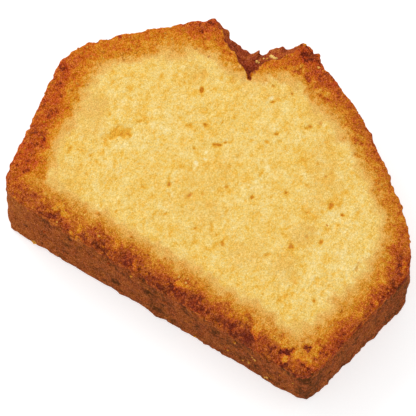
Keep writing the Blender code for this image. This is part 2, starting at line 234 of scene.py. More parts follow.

# Gaps in the walls, with painted shade: place in the photograph, size in millimetres, and how much darker.
WALL_GAPS = [
    (28, 218, 1.0, 0.35), (24, 226, 1.6, 0.2), (48, 224, 2.4, 0.15), (66, 252, 1.6, 0.2),
    (104, 254, 2.2, 0.3), (116, 281, 1.8, 0.45), (141, 273, 1.2, 0.3), (160, 285, 1.7, 0.5),
    (163, 292, 1.8, 0.25), (147, 292, 1.5, 0.3), (157, 309, 1.6, 0.25), (181, 305, 1.4, 0.35),
    (186, 311, 1.5, 0.3), (198, 328, 1.9, 0.25), (217, 333, 1.6, 0.2), (236, 334, 1.7, 0.4),
    (250, 341, 1.6, 0.3), (262, 350, 1.3, 0.3), (270, 352, 1.8, 0.2), (255, 366, 1.5, 0.3),
    (295, 376, 1.6, 0.3), (304, 381, 4.0, 0.15), (306, 379, 2.0, 0.15), (401, 283, 3.0, 0.15),
]

# Crumbs where the photograph shows them: place in it, size in millimetres, and how browned.
PLACED_CRUMBS = [
    (273, 58, 1.5, 0.05), (275, 59, 1.3, 0.05), (271, 57, 1.0, 0.1), (257, 62, 0.9, 0.1),
    (259, 63, 0.6, 0.1), (264, 59, 0.6, 0.15), (319, 68, 0.7, 0.25), (318, 67, 0.5, 0.3),
    (255, 360, 0.6, 0.25), (254, 359, 0.5, 0.3), (252, 357, 0.4, 0.35), (249, 362, 0.8, 0.35),
    (243, 360, 0.5, 0.35), (235, 342, 0.8, 0.45), (228, 350, 0.6, 0.45), (267, 377, 1.0, 0.25),
    (265, 377, 0.6, 0.3), (35, 242, 1.1, 0.35), (33, 241, 0.8, 0.4), (131, 276, 0.6, 0.4),
    (293, 383, 0.5, 0.4), (280, 375, 0.5, 0.45), (195, 336, 0.7, 0.45), (99, 236, 0.5, 0.2),
    (179, 277, 0.6, 0.15), (186, 283, 0.6, 0.2), (57, 222, 0.5, 0.3),
]

# Colours, each with its place on a ramp. Plain crumb goes from its palest cell walls to the gold of its
# holes, by how golden it is. The others go by the browning times this.
STOP_PER_BROWNING = 0.8
CRUMB_TONES = [
    (0.0, "FBE6AA"), (0.2, "F7DA8D"), (0.4, "F3CB6C"), (0.6, "EEB644"), (0.8, "E59E2C"), (1.0, "CC7A1A"),
]
# Browned crumb and the dome's crust, from gold and orange to red brown and nearly burnt.
BROWNED_TONES = [
    (0.06, "EABC64"), (0.2, "E5AA51"), (0.35, "D7902D"), (0.5, "CC7820"), (0.65, "B85F1D"), (0.8, "A2491E"),
    (0.96, "702D19"),
]
# The same where the crumb is orange, as on the loaf's left side.
ORANGE_TONES = [
    (0.06, "EBBC64"), (0.2, "E8AC52"), (0.35, "DB8E20"), (0.5, "D07415"), (0.65, "C65E18"), (0.8, "B64B1C"),
    (0.96, "702A15"),
]
# Crust from against the tin, and from inside the split.
TIN_TONES = [
    (0.3, "D08A34"), (0.48, "BA6E2A"), (0.64, "A85922"), (0.8, "964B20"), (0.92, "763C1A"), (1.0, "5A3012"),
]
SPLIT_TONES = [
    (0.2, "C98A42"), (0.35, "BC6A2C"), (0.45, "B05829"), (0.55, "A24926"), (0.7, "8C3B21"), (0.9, "60241A"),
]
# The sizes of the finishes' patterns: the crumb's cells, the crusts' grit, and on both the grains, the pits
# and the patches of hue. Then how far the cells and the grit spread the tone.
CELL_SIZE = 0.5
GRIT_SIZE = 0.4
GRAIN_SIZE = 0.22
PIT_SIZE = 1.3 * GRAIN_SIZE
PATCH_SIZE = 2.2
CELL_CONTRAST = 0.95
GRIT_CONTRAST = 0.9
CRUMB_NAME = "butter sponge crumb, knife cut"

# The finishes' places in the slice's list of materials.
CRUMB, TIN_CRUST, DOME_CRUST, SPLIT_CRUST = range(4)
# The sockets of a mix node for colours, by number, because several of its sockets share a name.
MIX_SHARE, MIX_FIRST, MIX_SECOND, MIX_RESULT = 0, 6, 7, 2

# The finer copy's grain, and the share of its points that is kept underneath and on the walls.
VOXEL = 0.3
KEPT_UNDERNEATH = 0.12
KEPT_ON_WALLS = 0.46

# A face less level than this is wall, and a wall that faces further down Y than this is the base's.
WALL_LEVEL = 0.7
BASE_FACING = -0.75
# Between these a point turns from wall to cut face: how level it is, and how far from the nearer cut face.
CUT_LEVEL = (0.5, 0.85)
CUT_UNDER = (1.6, 0.7)
# How far the walls' browning blends from one side to the next, and how many times as far as the browning's
# border the border of the split's crust wanders.
SIDE_BLEND = 0.8
SPLIT_WANDER = 1.5
# The dome turns fully orange between these places along Y, and its crust is browned no more than this
# before its blotches.
DOME_WARMS = (20.0, 28.0)
DARKEST_CROWN = 0.9
# Between these brownings the crumb turns from soft to the firm crumb of the rim.
RIM_BROWNING = (0.05, 0.4)

# The golden clumps don't make the rim any paler than this.
PALEST_CLUMP = 0.42
# How much of the change in their rows the brown spots, the crumb's patches and the walls' gaps make; the
# gaps' darkening is painted shade.
SPOT_STRENGTH = 0.6
PATCH_STRENGTH = 0.6
GAP_STRENGTH = 0.8
# How ragged the ovals are, and where each kind of mark begins to fade and where it is gone, with 1 at its
# edge.
RAGGED = 0.22
SOFT_EDGE = (0.5, 1.3)
CLUMP_EDGE = (0.8, 1.1)
SPOT_EDGE = (0.75, 1.15)
HOLE_EDGE = (0.2, 1.2)
GAP_EDGE = (0.3, 1.5)
CRAG_EDGE = (0.2, 1.6)
# Between these heights the rim's marks, the crumbling of its edge and the crags set in, and the bulges at
# the foot of the walls end. The crown begins between the last two places along Y.
MARKS_SET_IN = (14.0, 17.5)
CRUMBLING_SETS_IN = (15.0, 18.0)
CRAGS_SET_IN = (4.0, 14.0)
FOOT_ENDS = (0.6, 3.0)
CROWN_BEGINS = (18.0, 24.0)

# The strength of the holes read off the photograph. Then the scattered ones: how many, how far out along X
# and Y, the mean and spread of their turn from X, and the range of their strengths.
HOLE_STRENGTH = 1.3
SCATTERED_COUNT = 240
SCATTERED_REACH = (38, 26)
SCATTERED_TURN = (85, 45)
SCATTERED_STRENGTH = (0.3, 0.8)

# Places squeezed by these draw noise out: holes and cells from base to crown, as they rose, and the walls'
# lumps through the slice, as the knife pulled them.
RISEN_HOLES = (1.0, 0.7, 1.0)
RISEN_CELLS = (1.0, 0.8, 1.0)
DRAWN_THROUGH = (1.0, 1.0, 0.65)

# Layers of noise, each with its strength, the spacing of its lumps and its seed. The strength is in
# millimetres for the wander of the browning's border and for relief, and in browning or goldenness for the
# rest.
WANDER = [(0.25, 5.0, 1), (0.28, 1.9, 2), (0.25, 1.0, 15)]
RIM_UNEVENNESS = [(0.03, 3.6, 3), (0.035, 1.6, 4), (0.045, 0.85, 5)]
FLECKS = [(1.0, 0.95, 6), (0.6, 0.65, 7)]
GOLD_DRIFT = [(0.025, 4.5, 18), (0.03, 2.2, 8)]
CELL_DRIFT = [(0.05, 0.9, 9)]
WALL_RELIEF = [(0.05, 1.1, 35), (0.04, 0.7, 36)]
CRUST_BLOTCHES = [(0.02, 3.5, 30), (0.025, 1.8, 31), (0.035, 0.9, 32)]

# The spacing and seed of the lumps, the grit and the fine grit, and how high each stands: on the cut faces,
# more on their rims, in the split, and the lumps on the walls.
GRITS = [(2.6, 12), (1.3, 13), (0.8, 14)]
CUT_RELIEF = (0.02, 0.015, 0.015)
RIM_RELIEF = (0.03, 0.05, 0.04)
SPLIT_RELIEF = (0.12, 0.08)
WALL_LUMPS = 0.05
# The crust's bulges at the foot of the walls, of its own noise and of the grit.
FOOT_BULGES = (0.12, 0.1)
# How deep a hole is for its strength, how high or deep a mark stands for its change of the browning, and
# how much crumbles off the upper edge.
HOLE_DEPTH = 0.17
CLUMP_HEIGHT = 0.35
SPOT_DEPTH = 0.5
GAP_DEPTH = 0.5
CRUMBLED = 0.22
# What stands out of its surroundings by this much counts as fully out.
FULL_RELIEF = 0.12

# How golden plain crumb is and how much more so holes and flecks are; the holes' gold is partly painted
# shade in them. Noise above a threshold is fleck, or on the crusts a dark blotch.
PLAIN_GOLD = 0.39
HOLE_GOLD_AND_SHADE = 0.36
FLECK_GOLD = 0.12
FLECK_THRESHOLD = 0.9
DARK_BLOTCH = 0.13
DARK_BLOTCH_THRESHOLD = 1.2

# Loose crumbs besides the placed ones: how many, their sizes, the mean and spread of their browning against
# the crust below, its limits, their stretch and dents, and how likely the base is against the rim.
CRUMB_COUNT = 380
CRUMB_SIZES = (0.35, 0.75)
CRUMB_CHANGE = (-0.1, 0.12)
CRUMB_BROWNING = (0.4, 1.1)
CRUMB_STRETCH = (0.65, 1.2)
CRUMB_DENTS = 0.2
CRUMB_ON_BASE = 0.03
CRUMB_GOLD = 0.4
CRUMB_WARMTH = 0.8

random.seed(7)


def select_only(obj):
    bpy.ops.object.select_all(action="DESELECT")
    obj.select_set(True)
    bpy.context.view_layer.objects.active = obj


def apply_modifier(obj, name, kind, **settings):
    modifier = obj.modifiers.new(name, kind)
    for key, value in settings.items():
        setattr(modifier, key, value)
    select_only(obj)
    bpy.ops.object.modifier_apply(modifier=modifier.name)


def read_all(items, name, columns, kind=np.float32):
    """One property of each of a mesh's points, edges or values, a row for each."""
    flat = np.empty(len(items) * columns, kind)
    items.foreach_get(name, flat)
    return flat.reshape(-1, columns)


def places(obj):
    """The place of each of a mesh's points, in millimetres."""
    return read_all(obj.data.vertices, "co", 3).astype(float) / MM


def outward(obj):
    """The normal at each of a mesh's points."""
    return read_all(obj.data.vertex_normals, "vector", 3).astype(float)


def rough(points, spacing, seed):
    """Smooth noise at each point, mostly from -1 to 1, with lumps about this far apart."""
    shift = Vector((seed * 17.3, seed * 5.1, seed * 9.7))
    return 3.6 * np.array([noise.noise(Vector(point) / spacing + shift) for point in points])


def layered(points, layers):
    """Several layers of noise on top of one another."""
    return sum(strength * rough(points, spacing, seed) for strength, spacing, seed in layers)


def mixed(strengths, noises):
    """The sum of noises that are worked out already, each at its own strength."""
    return sum(strength * value for strength, value in zip(strengths, noises))


def eased(value, low=0.0, high=1.0):
    """From 0 at low to 1 at high, level at both ends."""
    share = np.clip((value - low) / (high - low), 0.0, 1.0)
    return share * share * (3.0 - 2.0 * share)


def camera_axes():
    """The camera's right, its up, and the way from what it looks at back to it."""
    turn, rise = math.radians(CAMERA_AZIMUTH), math.radians(CAMERA_ELEVATION)
    back = Vector((math.sin(turn) * math.cos(rise), -math.cos(turn) * math.cos(rise), math.sin(rise)))
    right = Vector((math.cos(turn), math.sin(turn), 0.0))
    return right, back.cross(right), back


def line_of_sight(across, down):
    """Where the camera is, and the way from it to what the photograph shows at this pixel."""
    right, up, back = camera_axes()
    pixel = PICTURE_WIDTH / PICTURE_PIXELS
    middle = PICTURE_PIXELS / 2
    way = right * (across - middle) * pixel + up * (middle - down) * pixel - back * CAMERA_DISTANCE
    return CAMERA_TARGET + back * CAMERA_DISTANCE, way


def on_cut_face(marks):
    """Marks with their places in the photograph, put on the upper cut face."""
    placed = []
    for across, down, length, width, turn, *change in marks:
        eye, way = line_of_sight(across, down)
        place = eye + way * ((THICKNESS - eye.z) / way.z)
        placed.append((place.x, place.y, length, width, turn + CAMERA_AZIMUTH, *change))
    return placed


def seen_on(obj, across, down):
    """The place on an object that the photograph shows at this pixel."""
    eye, way = line_of_sight(across, down)
    found, place = obj.ray_cast(eye * MM, way)[:2]
    if not found:
        raise ValueError(f"nothing is seen at pixel {across}, {down}")
    return np.array(place) / MM


def oval_reach(points, oval, wobble):
    """The points near a ragged oval, and how far out from its middle each one is, with 1 at the edge."""
    x, y, length, width, turn = oval
    near = np.flatnonzero(np.hypot(points[:, 0] - x, points[:, 1] - y) < max(length, width))
    c, s = math.cos(math.radians(turn)), math.sin(math.radians(turn))
    dx, dy = points[near, 0] - x, points[near, 1] - y
    reach = np.hypot((dx * c + dy * s) / length, (dy * c - dx * s) / width) * 2
    return near, reach + RAGGED * wobble[near]


def ovals(points, marks, wobble, edge=SOFT_EDGE):
    """The sum of the marks' changes at each point, each full in its middle and gone past its edge."""
    total = np.zeros(len(points))
    for *oval, change in marks:
        near, reach = oval_reach(points, oval, wobble)
        total[near] += change * (1.0 - eased(reach, *edge))
    return total


def holes(points, spots, wobble):
    """How deep in a hole each point is, from 0 outside to the hole's own strength at its floor."""
    deepest = np.zeros(len(points))
    for *oval, strength in spots:
        near, reach = oval_reach(points, oval, wobble)
        deepest[near] = np.maximum(deepest[near], strength * (1.0 - eased(reach, *HOLE_EDGE)))
    return deepest


def scattered_holes():
    """Small faint holes at random over a cut face, mostly longer than wide."""
    reach_x, reach_y = SCATTERED_REACH
    spots = []
    for _ in range(SCATTERED_COUNT):
        width = 0.5 + 0.5 * random.random() ** 2
        length = width * (1.0 + 1.6 * random.random() ** 2)
        place = (random.uniform(-reach_x, reach_x), random.uniform(-reach_y, reach_y))
        turn = random.gauss(*SCATTERED_TURN)
        spots.append((*place, length, width, turn, random.uniform(*SCATTERED_STRENGTH)))
    return spots


def wall_gap_shade(cake, points, wobble):
    """How much darker each point is painted for lying in one of the walls' gaps: painted shade."""
    total = np.zeros(len(points))
    for across, down, size, change in WALL_GAPS:
        away = (points - seen_on(cake, across, down)) * DRAWN_THROUGH
        reach = np.linalg.norm(away, axis=1) / size * 2
        near = np.flatnonzero(reach < 2)
        total[near] += GAP_STRENGTH * change * (1.0 - eased(reach[near] + 0.4 * wobble[near], *GAP_EDGE))
    return total


def crags(points):
    """How far the lips of the split stand out or are cut away at each point, less so further down."""
    out = np.zeros(len(points))
    for x, y, reach, height in CRAGS:
        gap = np.hypot(points[:, 0] - x, points[:, 1] - y) / reach
        out += height * (1.0 - eased(gap, *CRAG_EDGE))
    return out * eased(points[:, 2] + 3.0 * np.sin(points[:, 0]), *CRAGS_SET_IN)


def decimate_where(cake, chosen, ratio):
    """Thins out the chosen points of a mesh."""
    bpy.ops.object.mode_set(mode="EDIT")
    bpy.ops.mesh.select_mode(type="VERT")
    bpy.ops.mesh.select_all(action="DESELECT")
    bpy.ops.object.mode_set(mode="OBJECT")
    cake.data.vertices.foreach_set("select", chosen)
    bpy.ops.object.mode_set(mode="EDIT")
    bpy.ops.mesh.decimate(ratio=ratio)
    bpy.ops.object.mode_set(mode="OBJECT")


def slice_copy():
    """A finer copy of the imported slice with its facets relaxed, coarser on the walls and underneath."""
    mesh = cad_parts["cake_slice"].data.copy()
    mesh.materials.clear()
    cake = bpy.data.objects.new("baked_slice", mesh)
    bpy.context.scene.collection.objects.link(cake)
    select_only(cake)
    bpy.ops.object.mode_set(mode="EDIT")
    bpy.ops.mesh.select_all(action="SELECT")
    bpy.ops.mesh.remove_doubles(threshold=0.01 * MM)
    bpy.ops.object.mode_set(mode="OBJECT")
    mesh.remesh_voxel_size = VOXEL * MM
    bpy.ops.object.voxel_remesh()
    apply_modifier(cake, "relax", "SMOOTH", factor=0.5, iterations=6)

    height = places(cake)[:, 2]
    underneath = (height < 0.3) & (Skin(cake).rim_gap > 2.5)
    decimate_where(cake, underneath, KEPT_UNDERNEATH)
    height = places(cake)[:, 2]
    walls = (height > 0.5) & (height < 14.0)
    decimate_where(cake, walls, KEPT_ON_WALLS)
    return cake


def side_of(place, normal):
    """Which side of the loaf a face of the slice's wall is on."""
    if SPLIT_FROM < place.x < SPLIT_TO and place.y > SPLIT_ABOVE:
        return "split"
    if normal.y < BASE_FACING:
        return "base"
    return "left" if place.x < SPLIT_FROM else "right"


def wall_trees():
    """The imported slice's walls, as a search tree for each side of the loaf."""
    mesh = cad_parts["cake_slice"].data
    faces = {side: [] for side in BAKED}
    for polygon in mesh.polygons:
        if abs(polygon.normal.z) < WALL_LEVEL:
            faces[side_of(polygon.center / MM, polygon.normal)].append(polygon.vertices[:])
    corners = [vertex.co / MM for vertex in mesh.vertices]
    return {side: BVHTree.FromPolygons(corners, faces[side]) for side in BAKED}


WALLS = wall_trees()


class Skin:
    """What each point of the slice is: how much cut face, by which side, how far in and how browned."""

    def __init__(self, cake, wander=0.0):
        self.points = places(cake)
        across, along, height = self.points.T
        self.upper = height > THICKNESS / 2
        from_other_face = np.where(self.upper, height, THICKNESS - height)
        level = eased(from_other_face, THICKNESS - CUT_UNDER[0], THICKNESS - CUT_UNDER[1])
        self.cut = eased(np.abs(outward(cake)[:, 2]), *CUT_LEVEL) * level
        self.wall = 1.0 - self.cut

        # Where two sides meet, their browning adds up to more than either, but to less than their sum.
        gaps = []
        cubes, warm = np.zeros(len(self.points)), np.zeros(len(self.points))
        for side in BAKED:
            gap, (darkness, hold, fade) = self.to_side(side)
            gaps.append(gap)
            share = np.clip((fade - gap - wander) / (fade - hold), 0.0, 1.0)
            cube = (darkness * (0.5 * share + 0.5 * eased(share))) ** 3
            cubes += cube
            warm += WARMTH[side] * cube
        self.browning = np.cbrt(cubes)
        self.rim = eased(self.browning, *RIM_BROWNING)
        self.warmth = np.maximum(warm / np.maximum(cubes, 1e-6), eased(along, *DOME_WARMS))

        self.rim_gap = np.min(gaps, axis=0)
        split = list(BAKED).index("split")
        gaps[split] += SPLIT_WANDER * wander
        # Each wall's painted light or shade by side, blended where two sides meet.
        nearness = np.exp(-np.abs(np.array(gaps) - self.rim_gap) / SIDE_BLEND)
        self.wall_light_and_shade = np.array(list(WALL_LIGHT_AND_SHADE.values())) @ nearness / nearness.sum(axis=0)
        in_notch = (across > NOTCH_FROM) & (across < NOTCH_TO) & (along > SPLIT_ABOVE)
        self.split = (np.argmin(gaps, axis=0) == split) | in_notch
        self.tin = ~self.split & (along < TIN_TOP + 0.5 * border_wave(self.points))

    def to_side(self, side):
        """How far in each point is from a side's wall, and that side's darkness, hold and fade there."""
        nearest = np.array([WALLS[side].find_nearest(point)[0] for point in self.points])
        gap = np.hypot(*(self.points - nearest)[:, :2].T)
        along, *columns = np.array(BAKED[side]).T
        place = nearest[:, 0 if side == "base" else 1]
        return gap, [np.interp(place, along, column) for column in columns]


def border_wave(points):
    """A slow wave along X and Z, so that a border isn't a straight line."""
    return np.sin(points[:, 0] / 5.0) + 0.6 * np.sin(points[:, 2] / 2.3)


class Marks:
    """What the marks, and the holes scattered among them, change at each point of the slice."""

    def __init__(self, cake, skin, wobble):
        points = skin.points
        crisp = 1.4 * wobble
        top = eased(points[:, 2], *MARKS_SET_IN)
        self.clumps = ovals(points, on_cut_face(GOLDEN_CLUMPS), crisp, CLUMP_EDGE) * top
        self.spots = SPOT_STRENGTH * ovals(points, on_cut_face(BROWN_SPOTS), crisp, SPOT_EDGE) * top
        self.patches = PATCH_STRENGTH * ovals(points, on_cut_face(CRUMB_PATCHES), wobble) * skin.upper
        self.shades = ovals(points, SOFT_SHADES, 0.5 * wobble) * skin.upper
        self.flakes = ovals(points, on_cut_face(TORN_FLAKES), wobble) * skin.upper
        # The walls' gaps are painted darker: painted shade.
        self.gaps = wall_gap_shade(cake, points, wobble) * skin.wall
        every_hole = [(*spot, HOLE_STRENGTH) for spot in on_cut_face(HOLES)] + scattered_holes()
        self.hole = holes(points, every_hole, wobble) * skin.cut * (1.0 - 0.7 * skin.rim)


def move_out(cake, heights):
    """Moves each point along its normal by its own height: raised first, then sunken."""
    for name, way in (("raised", 1), ("sunken", -1)):
        amounts = np.maximum(way * heights, 0)
        most = float(amounts.max())
        if most == 0:
            continue
        group = cake.vertex_groups.new(name=name)
        for index, share in enumerate(amounts / most):
            if share > 0:
                group.add([index], share, "REPLACE")
        apply_modifier(cake, name, "DISPLACE", vertex_group=name, strength=way * most * MM, mid_level=0.0)
    cake.vertex_groups.clear()


def smoothed(mesh, points, rounds):
    """The points after this many rounds of moving halfway to the middle of their neighbours."""
    ends = read_all(mesh.edges, "vertices", 2, np.int32)
    first, second = ends.T
    count = np.bincount(ends.ravel(), minlength=len(points))[:, None]
    for _ in range(rounds):
        total = np.empty_like(points)
        for axis in range(3):
            total[:, axis] = np.bincount(first, points[second, axis], len(points))
            total[:, axis] += np.bincount(second, points[first, axis], len(points))
        points = 0.5 * points + 0.5 * total / count
    return points


def standing_out(cake):
    """How far each point stands out of its surroundings, from -1 in a hollow to 1 on a lump."""
    points = places(cake)
    out = ((points - smoothed(cake.data, points, 12)) * outward(cake)).sum(axis=1)
    return np.clip(out / FULL_RELIEF, -1, 1)


def crumb_browning(skin, marks):
    """How browned the crumb is at each point, with its rim's unevenness and marks."""
    uneven = skin.rim * layered(skin.points, RIM_UNEVENNESS) * skin.cut
    browning = skin.browning + marks.clumps + marks.spots + uneven
    palest = np.minimum(skin.browning, PALEST_CLUMP)
    return np.maximum(browning, palest) + 0.8 * np.maximum(marks.shades, 0) * skin.cut


def crumb_gold(skin, marks):
    """How golden the crumb is at each point, from 0 for pale cell walls to 1 for deep gold."""
    risen = skin.points * RISEN_HOLES
    flecks = sum(
        strength * np.maximum(0, rough(risen, spacing, seed) - FLECK_THRESHOLD)
        for strength, spacing, seed in FLECKS
    )
    golden = PLAIN_GOLD + marks.patches + marks.shades + HOLE_GOLD_AND_SHADE * marks.hole + FLECK_GOLD * flecks
    return golden + layered(skin.points, GOLD_DRIFT) + layered(risen, CELL_DRIFT)


def relief_heights(skin, marks, grits):
    """How far each point is moved out of the smooth slice, or into it."""
    points, cut, wall = skin.points, skin.cut, skin.wall
    height = points[:, 2]
    lump, grit, _ = grits
    heights = cut * (mixed(CUT_RELIEF, grits) - HOLE_DEPTH * marks.hole)
    heights += cut * skin.rim * mixed(RIM_RELIEF, grits)
    heights += cut * (-CLUMP_HEIGHT * marks.clumps - SPOT_DEPTH * marks.spots - marks.flakes)
    heights += wall * (WALL_LUMPS * lump + layered(points * DRAWN_THROUGH, WALL_RELIEF))
    heights += wall * skin.split * mixed(SPLIT_RELIEF, grits)

    foot = 1.0 - eased(height, *FOOT_ENDS)
    bulges = (np.maximum(0, rough(points, 2.4, 16)), np.maximum(0, grit))
    heights += wall * foot * mixed(FOOT_BULGES, bulges)
    heights += wall * crags(points) - GAP_DEPTH * marks.gaps
    upper_edge = eased(1.0 - skin.rim_gap / 1.8) * eased(height, *CRUMBLING_SETS_IN)
    heights -= upper_edge * CRUMBLED * np.maximum(0, grit + lump)

    # Nothing stands out underneath, so that the slice lies flat.
    underneath = ~skin.upper & (height < 0.6)
    return np.where(underneath, -np.abs(heights), heights)


def crust_browning(skin, marks, relief, browning):
    """The browning with the crusts' own blotches and gaps added, and the inside of the split toned, with
    painted light and shade among them.
    """
    # The crown's own crust doesn't darken where it meets the crust of the split.
    crown = skin.wall * ~skin.split * eased(skin.points[:, 1], *CROWN_BEGINS)
    browning = browning - crown * np.maximum(0.0, browning - DARKEST_CROWN)
    through = skin.points * DRAWN_THROUGH
    # Painted light and shade: the crust is painted darker in its hollows and paler where it stands out.
    blotches_and_shade = layered(through, CRUST_BLOTCHES) - 0.05 * relief
    blotches_and_shade += DARK_BLOTCH * np.maximum(0, rough(through, 1.5, 33) - DARK_BLOTCH_THRESHOLD)
    # Each wall takes its side's painted light or shade, and the gaps their painted shade.
    browning += skin.wall * (blotches_and_shade + skin.wall_light_and_shade) + marks.gaps
    # Deeper in the split the crust is darker: baked crust with painted shade.
    torn = np.interp(skin.points[:, 1], SPLIT_DEPTHS, SPLIT_BROWNING_AND_SHADE)
    return browning + skin.wall * skin.split * (torn - skin.browning)


def write_looks(mesh, **looks):
    """Stores how browned, golden and warm each point is, and shades the mesh smooth."""
    for name, values in looks.items():
        attribute = mesh.attributes.new(name, "FLOAT", "POINT")
        attribute.data.foreach_set("value", np.asarray(values, np.float32))
    mesh.polygons.foreach_set("use_smooth", np.ones(len(mesh.polygons), bool))


def shape_slice():
    """The slice with its relief and its finishes, and how browned, golden and warm each of its points is."""
    cake = slice_copy()
    points = places(cake)
    grits = [rough(points, spacing, seed) for spacing, seed in GRITS]
    wobble = rough(points, 1.0, 15)
    skin = Skin(cake, layered(points, WANDER))
    marks = Marks(cake, skin, wobble)
    move_out(cake, relief_heights(skin, marks, grits))

    # Painted light and shade: what stands out is painted paler, and hollows are painted darker.
    relief = standing_out(cake)
    browning = crumb_browning(skin, marks) - 0.035 * relief * skin.rim
    write_looks(
        cake.data,
        browning=crust_browning(skin, marks, relief, browning),
        golden=crumb_gold(skin, marks) - 0.03 * relief,
        warmth=np.maximum(skin.warmth, np.clip(-4.0 * marks.clumps, 0, 1)),
    )
    assign_finishes(cake, skin)
    return cake


def assign_finishes(cake, skin):
    """Gives each face the crumb where it is cut face, and otherwise the crust of the side that it is on."""
    mesh = cake.data
    moved = places(cake)
    kinds = np.full(len(moved), DOME_CRUST)
    kinds[skin.tin] = TIN_CRUST
    kinds[skin.split] = SPLIT_CRUST
    # The crumb spills a little over the upper edge, and its border is uneven.
    spilled = eased(moved[:, 2], THICKNESS - 3.6, THICKNESS - 0.2) * ~skin.split
    kinds[np.maximum(skin.cut, spilled) + 0.13 * rough(moved, 1.6, 21) > 0.6] = CRUMB
    for material in finishes():
        mesh.materials.append(material)
    first_corner = np.array([polygon.vertices[0] for polygon in mesh.polygons])
    mesh.polygons.foreach_set("material_index", kinds[first_corner].astype(np.int32))


def linear(code):
    """An sRGB hex colour as linear red, green, blue and alpha."""
    channels = [int(code[i : i + 2], 16) / 255 for i in (0, 2, 4)]
    return [c / 12.92 if c <= 0.04045 else ((c + 0.055) / 1.055) ** 2.4 for c in channels] + [1.0]


def add_node(tree, kind, inputs, **settings):
    """Adds a node with its settings, and gives each named input a value or another node's output."""
    node = tree.nodes.new(kind)
    for name, value in settings.items():
        setattr(node, name, value)
    for name, value in inputs.items():
        if isinstance(value, bpy.types.NodeSocket):
            tree.links.new(value, node.inputs[name])
        else:
            node.inputs[name].default_value = value
    return node


def per_mm(size):
    """The scale of a texture whose pattern repeats about every size millimetres."""
    return 1.0 / (size * MM)


def fill_ramp(ramp, stops):
    """Gives a ramp its stops, and returns the colour that it puts out."""
    elements = ramp.color_ramp.elements
    elements[0].position, elements[1].position = stops[0][0], stops[-1][0]
    elements[0].color, elements[1].color = linear(stops[0][1]), linear(stops[-1][1])
    for position, code in stops[1:-1]:
        elements.new(position).color = linear(code)
    return ramp.outputs["Color"]


def new_finish(name, roughness, specular):
    material = bpy.data.materials.new(name)
    material.use_nodes = True
    tree = material.node_tree
    shader = tree.nodes["Principled BSDF"]
    shader.inputs["Roughness"].default_value = roughness
    shader.inputs["Specular IOR Level"].default_value = specular
    return material, tree, shader


def add_grain(tree, shader, where, colour, gain, share, bump_depth, hue_drift):
    """Sets the shader's colour, in patches redder or yellower, with light and dark grains and a bump."""
    grain, patches, pits = (
        add_node(tree, "ShaderNodeTexNoise", {"Vector": where, "Scale": per_mm(size), "Detail": detail})
        for size, detail in ((GRAIN_SIZE, 1.0), (PATCH_SIZE, 4.0), (PIT_SIZE, 2.0))
    )
    # Each of these is remapped from a noise: its range in the noise, and what that range becomes.
    remapped = {
        "Value": (grain, 0.25, 0.75, 1 - gain, 1 + gain),
        "Saturation": (grain, 0.25, 0.75, 1.08, 0.92),
        "Hue": (patches, 0.3, 0.7, 0.5 - hue_drift, 0.5 + hue_drift),
    }
    shifts = {"Color": colour, "Fac": share}
    for name, (source, low, high, to_low, to_high) in remapped.items():
        limits = {"From Min": low, "From Max": high, "To Min": to_low, "To Max": to_high}
        shift = add_node(tree, "ShaderNodeMapRange", {"Value": source.outputs["Fac"], **limits})
        shifts[name] = shift.outputs["Result"]
    grains = add_node(tree, "ShaderNodeHueSaturation", shifts)
    tree.links.new(grains.outputs["Color"], shader.inputs["Base Color"])
    bump = add_node(tree, "ShaderNodeBump", {"Distance": bump_depth * MM, "Height": pits.outputs["Fac"]})
    tree.links.new(bump.outputs["Normal"], shader.inputs["Normal"])


def centred_noise(tree, where, size, roughness):
    """Noise with lumps of this size, evenly to both sides of 0."""
    inputs = {"Vector": where, "Scale": per_mm(size), "Detail": 2.0, "Roughness": roughness}
    lumps = add_node(tree, "ShaderNodeTexNoise", inputs).outputs["Fac"]
    return add_node(tree, "ShaderNodeMath", {0: lumps, 1: -0.5}, operation="ADD").outputs[0]


